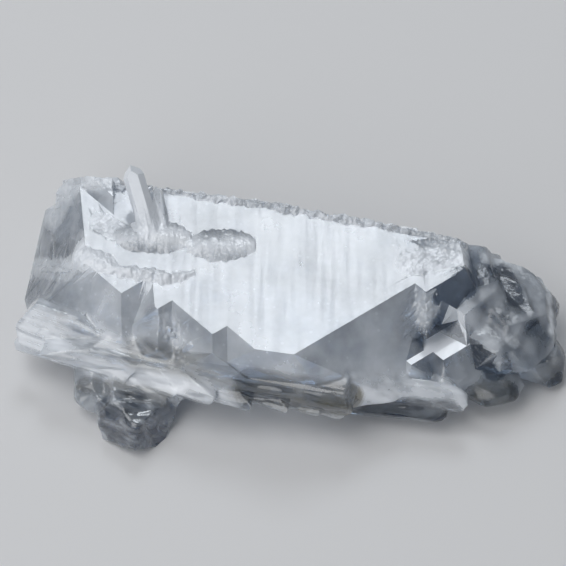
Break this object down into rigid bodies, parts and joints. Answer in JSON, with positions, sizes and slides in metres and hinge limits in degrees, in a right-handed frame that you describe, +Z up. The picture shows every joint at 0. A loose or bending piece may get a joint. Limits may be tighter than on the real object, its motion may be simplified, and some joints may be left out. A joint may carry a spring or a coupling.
{
  "type": "faden quartz cluster",
  "caption": "Clear to milky faden quartz cluster: flat parallel-grown crystals in a row with one broad level face, front blades, a clear stub and slim prisms.",
  "frame": {"origin": "centre of the bounding box in plan, at the level of the lower faces that it lies on", "axes": "+Z up, +X along the row of crystals, the front with the blades and the stub towards -Y"},
  "size_m": [0.087, 0.051, 0.0239],
  "materials": {
    "quartz": "clear to milky rock crystal with bright flat faces, frosted seams and faint iron stain"
  },
  "bodies": {
    "root": {"quartz_cluster": "quartz"}
  },
  "joints": []
}
